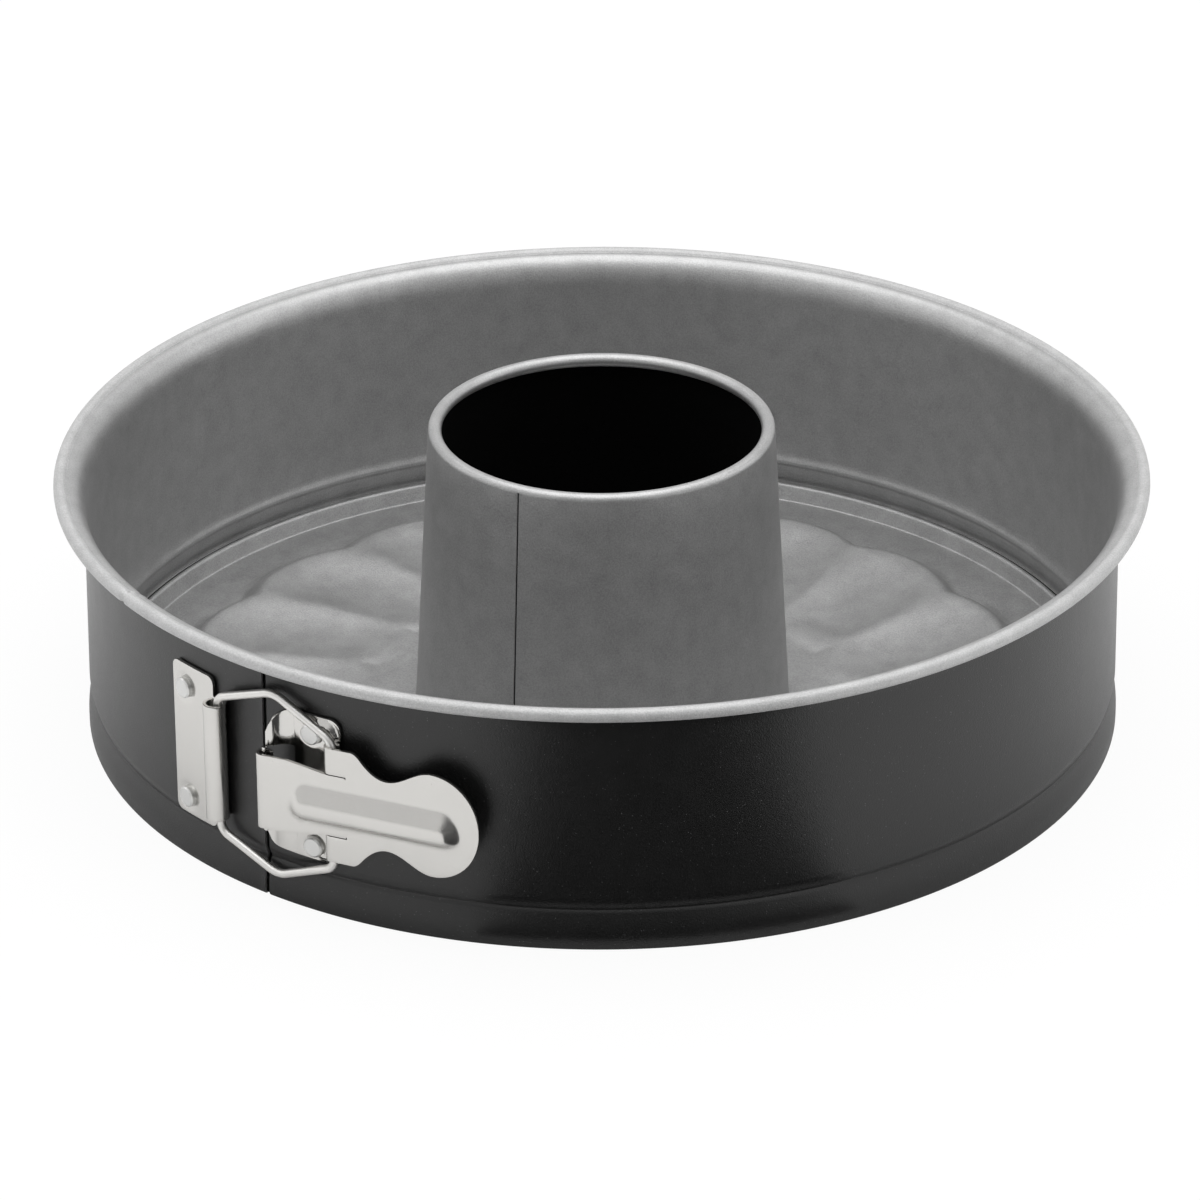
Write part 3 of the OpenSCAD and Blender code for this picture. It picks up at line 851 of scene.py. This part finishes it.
# %% [markdown]
# ## The clamp
#
# Every flat piece of the clamp is strip that was blanked, pressed and bent. So each is a grid
# that is first laid out flat, as the blank would be, then pushed along its own normal where the
# press tool leaves a rib or a dimple, and carried along its bent line. Thickness and a slightly
# rounded cut edge come last. A distance along the strip stands for the arc length from the seam,
# as in the CAD model.

# %% Strip helpers
STRIP = 0.8
CLAMP_Z = 32.8
WIRE_AT = beside_seam(-14.2, 2.6)
PIVOT_AT = beside_seam(3.6, 5.8)
TABS_AT = beside_seam(21, 3.2)


def add_grid(bm, columns, rows, place_of):
    """A grid whose points lie where place_of(column, row) says, in mm."""
    for vert in bmesh.ops.create_grid(bm, x_segments=columns, y_segments=rows, size=0.5)["verts"]:
        i, j = round((vert.co.x + 0.5) * columns), round((vert.co.y + 0.5) * rows)
        vert.co = Vector(place_of(i, j)) * MM


def front_of(direction):
    """The side of a strip that faces away from the wall, when it runs to the right."""
    return Vector((direction.y, -direction.x))


# %% [markdown]
# Plates have round corners and dimples round their rivets, and all strips are finished the same
# way.


# %% Plate helpers
def corner(height, radius, inset):
    """Half height of a plate with rounded corners, inset mm in from its end."""
    if inset >= radius:
        return height
    return height - radius + math.sqrt(max(radius ** 2 - (radius - inset) ** 2, 0.0))


def end_steps(start, end, radius, at_start, at_end, pitch=0.45):
    """Positions from start to end, closer together where a corner is round."""
    marks = [start]
    if at_start:
        marks += [start + radius * (1 - math.cos(math.radians(a))) for a in range(15, 91, 15)]
    stop = end - radius if at_end else end
    count = max(1, round((stop - marks[-1]) / pitch))
    first = marks[-1]
    marks += [first + (stop - first) * i / count for i in range(1, count + 1)]
    if at_end:
        marks += [end - radius * (1 - math.sin(math.radians(a))) for a in range(15, 91, 15)]
    return marks


def dimple(x, z, centres, depth=0.28, inner=2.5, outer=4.6):
    """How far the sheet is pressed in round its rivets."""
    near = min(math.hypot(x - cx, z - cz) for cx, cz in centres)
    return -depth * (1 - ease((near - inner) / (outer - inner)))


def finish_strip(name, bm, body, nodes, material):
    bmesh.ops.remove_doubles(bm, verts=bm.verts, dist=0.004 * MM)
    piece = to_object(name, bm, (material,), 60)
    thicken(piece, STRIP, bevel=0.13)
    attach(piece, body)
    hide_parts(*nodes)
    print(name, len(piece.data.polygons), "faces")


# %% [markdown]
# The hinge plate is riveted to the left end of the ring. Its tongue is rolled round the wire with
# some play, outwards and back to the plate, as the knuckle of a door hinge is.

# %% Hinge plate and knuckle
PLATE_LEFT, PLATE_RIGHT = -33.3, -17.7
PLATE_HALF, TONGUE_HALF = 20.3, 15.4
TONGUE_ROWS, TONGUE_FLAT_END = 64, -15.4
KNUCKLE_AT, KNUCKLE_R, KNUCKLE_ROLL = -15.0, 2.0, 308
HINGE_RIVETS = (-28.6, (13.9, -15.7))
BRACKET_RIVETS = (13.8, (15.3, -14.9))
FACE_OFF = 0.82


def rows_of(fixed, inner, outer):
    """Row shares: whole rows within the fixed height, then rows that follow the outline."""
    shares = [("out", -1 + i / outer) for i in range(outer)]
    shares += [("in", -1 + 2 * i / inner) for i in range(inner + 1)]
    shares += [("out", (i + 1) / outer) for i in range(outer)]

    def height(row, up, down):
        kind, share = shares[row]
        if kind == "in":
            return share * fixed
        edge = up if share > 0 else down
        return math.copysign(fixed + abs(share) * (edge - fixed), share)

    return len(shares) - 1, height


def make_hinge_plate():
    bm = bmesh.new()
    rows, height = rows_of(TONGUE_HALF, TONGUE_ROWS, 10)
    across = end_steps(PLATE_LEFT, PLATE_RIGHT, 2, True, True)
    holes = [(HINGE_RIVETS[0], z) for z in HINGE_RIVETS[1]]

    def on_plate(i, j):
        x = across[i]
        half = corner(PLATE_HALF, 2, min(x - PLATE_LEFT, PLATE_RIGHT - x))
        z = height(j, half, half)
        spot = beside_seam(x, FACE_OFF + dimple(x, z, holes))
        return spot.x, spot.y, CLAMP_Z + z

    add_grid(bm, len(across) - 1, rows, on_plate)
    line = [(PLATE_RIGHT, FACE_OFF)]
    line += between(line[0], (TONGUE_FLAT_END, FACE_OFF), 4)
    line += arc((KNUCKLE_AT, FACE_OFF + KNUCKLE_R), KNUCKLE_R, -90, KNUCKLE_ROLL - 90, 40)

    def on_tongue(i, j):
        spot = beside_seam(*line[i])
        return spot.x, spot.y, CLAMP_Z + TONGUE_HALF * (-1 + 2 * j / TONGUE_ROWS)

    add_grid(bm, len(line) - 1, TONGUE_ROWS, on_tongue)
    finish_strip("hinge_plate_rolled", bm, "ring_left", ["hinge_plate"], NICKEL)


make_hinge_plate()

# %% [markdown]
# A rivet's head is a flat disc with a small chamfer, so it is a short line spun once.


# %% Rivets
def make_rivets(name, places, body, node):
    bm = bmesh.new()
    head = [(0, 1.0), (2.2, 1.0), (2.6, 0.7), (2.6, -0.3)]
    x, heights = places
    for z in heights:
        verts = [bm.verts.new(Vector((r, 0, h)) * MM) for r, h in head]
        edges = [bm.edges.new(pair) for pair in zip(verts, verts[1:])]
        bmesh.ops.spin(bm, geom=verts + edges, cent=(0, 0, 0), axis=(0, 0, 1), dvec=(0, 0, 0),
                       angle=2 * math.pi, steps=48, use_merge=True)
        mine = [v for v in bm.verts if not v.tag]
        out = front_of(Vector((math.cos(x / CLAMP_R), math.sin(x / CLAMP_R))))
        turn = Vector((0, 0, 1)).rotation_difference(Vector((out.x, out.y, 0))).to_matrix().to_4x4()
        spot = beside_seam(x, FACE_OFF)
        shift = Matrix.Translation(Vector((spot.x, spot.y, CLAMP_Z + z)) * MM)
        bmesh.ops.transform(bm, matrix=shift @ turn, verts=mine)
        for vert in bm.verts:
            vert.tag = True
    bmesh.ops.remove_doubles(bm, verts=bm.verts, dist=0.002 * MM)
    bmesh.ops.holes_fill(bm, edges=[e for e in bm.edges if e.is_boundary], sides=60)
    bmesh.ops.recalc_face_normals(bm, faces=bm.faces)
    piece = to_object(name, bm, (RIVET_GREY,), 30)
    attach(piece, body)
    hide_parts(node)


make_rivets("hinge_plate_rivet_heads", HINGE_RIVETS, "ring_left", "hinge_plate_rivets")
make_rivets("bracket_rivet_heads", BRACKET_RIVETS, "ring_right", "bracket_rivets")

# %% [markdown]
# The bracket is riveted to the right end. Left of its rivets it curves away from the wall into
# two ears, one above and one below a window, and the ears hold the bar that the lever turns on. A
# bead is pressed along its right-hand corners.

# %% Bracket
BRACKET_RIGHT, EAR_ROOT = 22.0, 8.8
BRACKET_UP, BRACKET_DOWN, WINDOW_HALF = 20.3, 18.3, 10.8
EAR_CORNER, PLATE_CORNER, BAR_R = 8.0, 3.0, 0.6
EAR_ROWS, EAR_BEND, EAR_TURN = 18, 4.6, 65
EAR_HOOK = (-1.75, 0.95), (-0.9, 0.75), (-0.35, 0.4)
BEAD_IN, BEAD_HALF, BEAD_BEND = 1.8, 1.5, 4.5


def bead_height(x, z):
    """A pressed bead 1 mm high that follows the right-hand corners, a little in from the edge."""
    if x < 12:
        return 0.0
    edge = (BRACKET_UP if z > 0 else BRACKET_DOWN) - abs(z)
    side = BRACKET_RIGHT - x
    if edge < BEAD_BEND and side < BEAD_BEND:
        inset = BEAD_BEND - math.hypot(BEAD_BEND - edge, BEAD_BEND - side)
    else:
        inset = min(edge, side)
    return ease(1 - abs(inset - BEAD_IN) / BEAD_HALF) * ease((x - 13) / 4) * ease((abs(z) - 5) / 3)


def make_bracket():
    bm = bmesh.new()
    rows, height = rows_of(WINDOW_HALF, 48, EAR_ROWS)
    across = end_steps(EAR_ROOT, BRACKET_RIGHT, PLATE_CORNER, False, True, 0.4)
    holes = [(BRACKET_RIVETS[0], z) for z in BRACKET_RIVETS[1]]

    def on_plate(i, j):
        x = across[i]
        inset = BRACKET_RIGHT - x
        up, down = (corner(half, PLATE_CORNER, inset) for half in (BRACKET_UP, BRACKET_DOWN))
        z = height(j, up, down)
        off = FACE_OFF + dimple(x, z, holes, 0.25, 2.4, 3.6) + bead_height(x, z)
        spot = beside_seam(x, off)
        return spot.x, spot.y, CLAMP_Z + z

    add_grid(bm, len(across) - 1, rows, on_plate)
    curve = arc((EAR_ROOT, FACE_OFF + EAR_BEND), EAR_BEND, 270 - EAR_TURN, 270, 22)
    tip = curve[0]
    curve = [(tip[0] + x, tip[1] + off) for x, off in EAR_HOOK] + curve
    spots = [beside_seam(x, off) for x, off in curve]
    run = [0.0]
    for a, b in zip(spots, spots[1:]):
        run.append(run[-1] + (b - a).length)
    for side in (1, -1):
        edge = BRACKET_UP if side > 0 else BRACKET_DOWN

        def on_ear(i, j):
            half = corner(edge, EAR_CORNER, run[i] + 0.25)
            share = j / EAR_ROWS if side > 0 else 1 - j / EAR_ROWS
            z = side * (WINDOW_HALF + share * (half - WINDOW_HALF))
            return spots[i].x, spots[i].y, CLAMP_Z + z

        add_grid(bm, len(spots) - 1, EAR_ROWS, on_ear)
    finish_strip("bracket_pressed", bm, "ring_right", ["bracket"], POLISHED)


make_bracket()

# %% [markdown]
# The bar runs from ear to ear through the lever's curl.


# %% Bar
def make_pivot_bar():
    bm = bmesh.new()
    bmesh.ops.create_cone(bm, cap_ends=True, segments=32, radius1=BAR_R * MM, radius2=BAR_R * MM,
                          depth=2 * (WINDOW_HALF + 0.3) * MM,
                          matrix=Matrix.Translation(Vector((PIVOT_AT.x, PIVOT_AT.y, CLAMP_Z)) * MM))
    piece = to_object("bracket_bar", bm, (POLISHED,), 40)
    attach(piece, "ring_right")
    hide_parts("bracket")


make_pivot_bar()

# %% [markdown]
# The lever is one flat strip. Its left end curls round the bracket's bar, two tabs curl round the
# wire, a long rib stiffens the middle, and it ends in a round paddle for the finger. First comes
# the line that it lies along, with a distance s that grows to the right.

# %% Where the lever lies
BEARING = 21
LEVER_TURN = math.radians(5.3) + BEARING / CLAMP_R
ALONG = Vector((math.cos(LEVER_TURN), math.sin(LEVER_TURN)))
FRONT = front_of(ALONG)
LEVER_START = beside_seam(BEARING, 5.04)


def on_lever(s, centre=None, radius=1.0):
    """Place and front side at s along the flat lever, or round centre where it is curled up."""
    touch = BEARING + (centre - LEVER_START).dot(ALONG) if centre else -100
    if s >= touch:
        return LEVER_START + ALONG * (s - BEARING), FRONT
    turn = math.atan2(FRONT.y, FRONT.x) - (touch - s) / radius
    side = Vector((math.cos(turn), math.sin(turn)))
    middle = LEVER_START + ALONG * (touch - BEARING) - FRONT * radius
    return middle + side * radius, side


def curl_start(centre, radius, degrees):
    """Where a strip that is curled so far round centre has its end."""
    return BEARING + (centre - LEVER_START).dot(ALONG) - radius * math.radians(degrees)


# %% [markdown]
# Next come the half widths of its outline and the height of its rib.

# %% Outline and rib
SLIT_END, TAB_HALF, NECK_HALF, PADDLE_HALF = 25.5, 15.1, 9.2, 13.5
TAB_CORNER, NECK_AT, PADDLE_AT, PADDLE_REACH = 28.0, 36.0, 47.6, 12.1
STRIP_HALF, STRIP_TAPER = 9.8, 1.75
RIB_HEIGHT, RIB_DROP, RIB_START, RIB_END = 2.2, 2.2, 15.0, 50.0


def rib(s, z):
    """Height of the pressed rib: its upper flank is long and soft, its lower short and steep."""
    z += RIB_DROP
    beyond = max(RIB_START - s, s - RIB_END, 0.0) / 5.5
    return RIB_HEIGHT * ease(1.2 * (1 - math.hypot(beyond, z / (7.6 if z > 0 else 3.5))))


def lever_half(s):
    """Half width of the lever right of the slits: tabs, neck and round paddle."""
    if s <= NECK_AT:
        start = min(max((s - TAB_CORNER + 1.2) / 2.4, 0.0), 1.0)
        past = 1.2 * start ** 2 if start < 1 else s - TAB_CORNER
        return NECK_HALF + (TAB_HALF - NECK_HALF) * (1 - past / (NECK_AT - TAB_CORNER)) ** 2
    if s <= PADDLE_AT:
        return NECK_HALF + (PADDLE_HALF - NECK_HALF) * ease((s - NECK_AT) / (PADDLE_AT - NECK_AT))
    return PADDLE_HALF * math.sqrt(max(1 - ((s - PADDLE_AT) / PADDLE_REACH) ** 2, 0.0006))


def strip_half(s):
    """Half width of the strip between the slits. It narrows towards them and leaves a fine gap."""
    if s > SLIT_END - 0.1:
        return TAB_HALF / 2
    return STRIP_HALF - STRIP_TAPER * min(max((s - 10) / 10.5, 0.0), 1.0)


# %% [markdown]
# Two slits part the tabs from the strip, so the blank is four grids: the part right of the slits,
# the strip, and the tabs.

# %% Lever
LEVER_ROWS, STRIP_ROWS, TAB_ROWS = 40, 20, 9
NECK_STEPS, STRIP_STEPS, TAB_STEPS = 44, 90, 44
CURL_R, CURL_TURN = 2.08, 250
TAB_CURL_R, TAB_CURL_TURN = 1.88, 245


def make_lever():
    bm = bmesh.new()
    right = [SLIT_END + 0.5 * i for i in range(6)]
    right += [TAB_CORNER + (PADDLE_AT - TAB_CORNER) * i / NECK_STEPS
              for i in range(1, NECK_STEPS + 1)]
    right += [PADDLE_AT + PADDLE_REACH * math.sin(math.radians(3 * i)) for i in range(1, 30)]

    def on_right(i, j):
        s = right[i]
        z = lever_half(s) * (2 * j / LEVER_ROWS - 1)
        spot, side = on_lever(s)
        spot = spot + side * rib(s, z)
        return spot.x, spot.y, CLAMP_Z + z

    add_grid(bm, len(right) - 1, LEVER_ROWS, on_right)
    begin = curl_start(PIVOT_AT, CURL_R, CURL_TURN)
    left = [begin + (SLIT_END - begin) * i / STRIP_STEPS for i in range(STRIP_STEPS + 1)]

    def on_strip(i, j):
        s = left[i]
        z = strip_half(s) * (2 * j / STRIP_ROWS - 1)
        spot, side = on_lever(s, PIVOT_AT, CURL_R)
        spot = spot + side * rib(s, z)
        return spot.x, spot.y, CLAMP_Z + z

    add_grid(bm, STRIP_STEPS, STRIP_ROWS, on_strip)
    tab_begin = curl_start(TABS_AT, TAB_CURL_R, TAB_CURL_TURN)
    tab = [tab_begin + (SLIT_END - tab_begin) * i / TAB_STEPS for i in range(TAB_STEPS + 1)]
    for first in (LEVER_ROWS - TAB_ROWS, 0):

        def on_tab(i, j):
            z = TAB_HALF * (2 * (first + j) / LEVER_ROWS - 1)
            spot, _ = on_lever(tab[i], TABS_AT, TAB_CURL_R)
            return spot.x, spot.y, CLAMP_Z + z

        add_grid(bm, TAB_STEPS, TAB_ROWS, on_tab)
    finish_strip("clamp_lever_pressed", bm, "lever", ["clamp_lever"], NICKEL)


make_lever()

# %% [markdown]
# The wire is one length bent at six corners. A curve with a round section is drawn along the
# bends, and then it is made a mesh.

# %% Wire bail
WIRE_R, WIRE_DROP = 1.06, 0.7
HOOK_HALF, APEX_HALF, TAB_SIDE = 17.9, 24.5, 17
HOOK_BEND, APEX_BEND, TAB_BEND, BEND_STEPS = 3.4, 7.0, 3.8, 12


def make_wire():
    step = TABS_AT - WIRE_AT
    length = step.length
    along = step.normalized()
    corners = [(0, -HOOK_HALF), (0, HOOK_HALF), (length / 2, APEX_HALF),
               (length, TAB_SIDE), (length, -TAB_SIDE), (length / 2, -APEX_HALF)]
    bends = [HOOK_BEND, HOOK_BEND, APEX_BEND, TAB_BEND, TAB_BEND, APEX_BEND]
    line = []
    for i in range(6):
        before, here, after = (Vector(corners[(i + k) % 6]) for k in (-1, 0, 1))
        a, b = (before - here).normalized(), (after - here).normalized()
        half = a.angle(b) / 2
        centre = here + (a + b).normalized() * bends[i] / math.sin(half)
        start = here + a * bends[i] / math.tan(half)
        swing = math.pi - 2 * half
        sense = 1 if a.cross(b) < 0 else -1
        for k in range(BEND_STEPS + 1):
            t = sense * swing * k / BEND_STEPS
            arm = start - centre
            line.append(centre + Vector((arm.x * math.cos(t) - arm.y * math.sin(t),
                                         arm.x * math.sin(t) + arm.y * math.cos(t))))
    curve = bpy.data.curves.new("wire", "CURVE")
    curve.dimensions = "3D"
    curve.bevel_depth = WIRE_R * MM
    curve.bevel_resolution = 6
    spline = curve.splines.new("POLY")
    spline.points.add(len(line) - 1)
    spline.use_cyclic_u = True
    for point, (u, v) in zip(spline.points, line):
        spot = WIRE_AT + along * u
        point.co = (spot.x * MM, spot.y * MM, (CLAMP_Z - WIRE_DROP + v) * MM, 1)
    holder = bpy.data.objects.new("wire_line", curve)
    scene.collection.objects.link(holder)
    depsgraph = bpy.context.evaluated_depsgraph_get()
    mesh = bpy.data.meshes.new_from_object(holder.evaluated_get(depsgraph))
    bpy.data.objects.remove(holder)
    for face in mesh.polygons:
        face.use_smooth = True
    mesh.materials.clear()
    mesh.materials.append(WIRE_NICKEL)
    piece = bpy.data.objects.new("wire_bail_bent", mesh)
    scene.collection.objects.link(piece)
    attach(piece, "bail")
    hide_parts("wire_bail")


make_wire()
